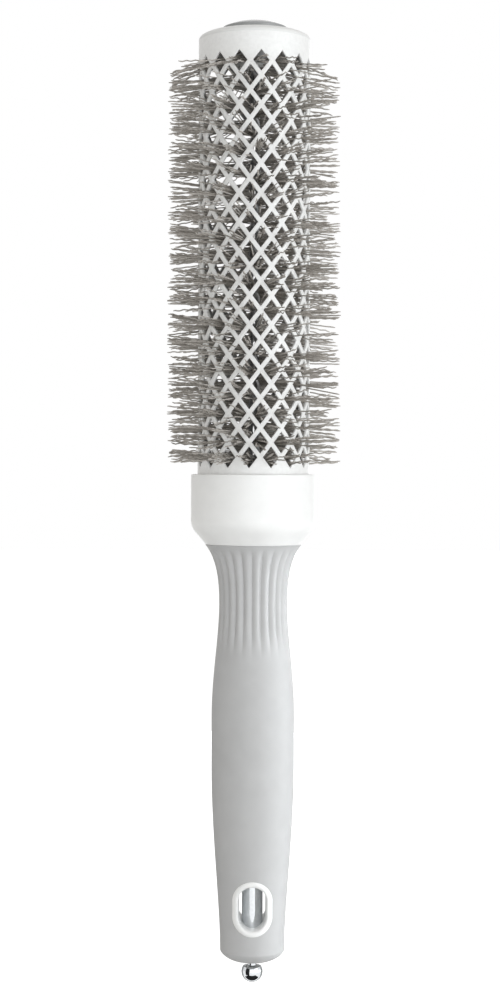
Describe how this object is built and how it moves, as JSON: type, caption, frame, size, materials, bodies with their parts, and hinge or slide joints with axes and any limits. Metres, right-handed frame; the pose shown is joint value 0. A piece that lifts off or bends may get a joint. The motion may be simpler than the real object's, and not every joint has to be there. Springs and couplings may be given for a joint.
{
  "type": "round barrel hair brush",
  "caption": "Round thermal hair brush with a perforated white barrel, wavy bristles, fluted soft grip and a sectioning pick that slides out of the handle's end.",
  "frame": {"origin": "on the brush's axis, at the widest section of the grip, where the palm closes round it", "axes": "+Z along the axis from the handle to the tip; -Y out of the slot face that the picture shows; +X to its right"},
  "size_m": [0.0542, 0.0542, 0.3],
  "materials": {
    "coated_barrel": "white ceramic coating, satin gloss",
    "white_plastic": "glossy white moulding",
    "grey_plastic": "glossy grey moulding",
    "soft_grip": "matt soft-touch overmould",
    "inner_plastic": "plain moulding",
    "bristle_nylon": "crimped taupe nylon filament",
    "twisted_wire": "galvanised steel wire",
    "chrome_plate": "bright chrome plate on steel",
    "friction_rubber": "black moulded rubber"
  },
  "bodies": {
    "brush": {"barrel_tube": "coated_barrel", "tip_cap": "white_plastic", "tip_button": "grey_plastic", "collar": "white_plastic", "slot_liner": "white_plastic", "grip_sleeve": "soft_grip", "handle_core": "inner_plastic", "base_plug": "inner_plastic", "mouth_bush": "inner_plastic", "core_wire_a": "twisted_wire", "core_wire_b": "twisted_wire", "pick_tube": "chrome_plate", "bristle_row_01": "bristle_nylon", "bristle_row_02": "bristle_nylon", "bristle_row_03": "bristle_nylon", "bristle_row_04": "bristle_nylon", "bristle_row_05": "bristle_nylon", "bristle_row_06": "bristle_nylon", "bristle_row_07": "bristle_nylon", "bristle_row_08": "bristle_nylon", "bristle_row_09": "bristle_nylon", "bristle_row_10": "bristle_nylon", "bristle_row_11": "bristle_nylon", "bristle_row_12": "bristle_nylon", "bristle_row_13": "bristle_nylon", "bristle_row_14": "bristle_nylon", "bristle_row_15": "bristle_nylon", "bristle_row_16": "bristle_nylon", "bristle_row_17": "bristle_nylon", "bristle_row_18": "bristle_nylon", "bristle_row_19": "bristle_nylon", "bristle_row_20": "bristle_nylon", "bristle_row_21": "bristle_nylon", "bristle_row_22": "bristle_nylon", "bristle_row_23": "bristle_nylon", "bristle_row_24": "bristle_nylon", "bristle_row_25": "bristle_nylon", "bristle_row_26": "bristle_nylon", "bristle_row_27": "bristle_nylon", "bristle_row_28": "bristle_nylon"},
    "pick": {"pick_rod": "chrome_plate", "pick_ball": "chrome_plate", "pick_stop": "inner_plastic", "pick_ring": "friction_rubber"}
  },
  "joints": [
    {"name": "pick_slide", "type": "slide", "parent": "brush", "child": "pick", "axis": [0, 0, -1], "range_m": [0, 0.06]}
  ]
}
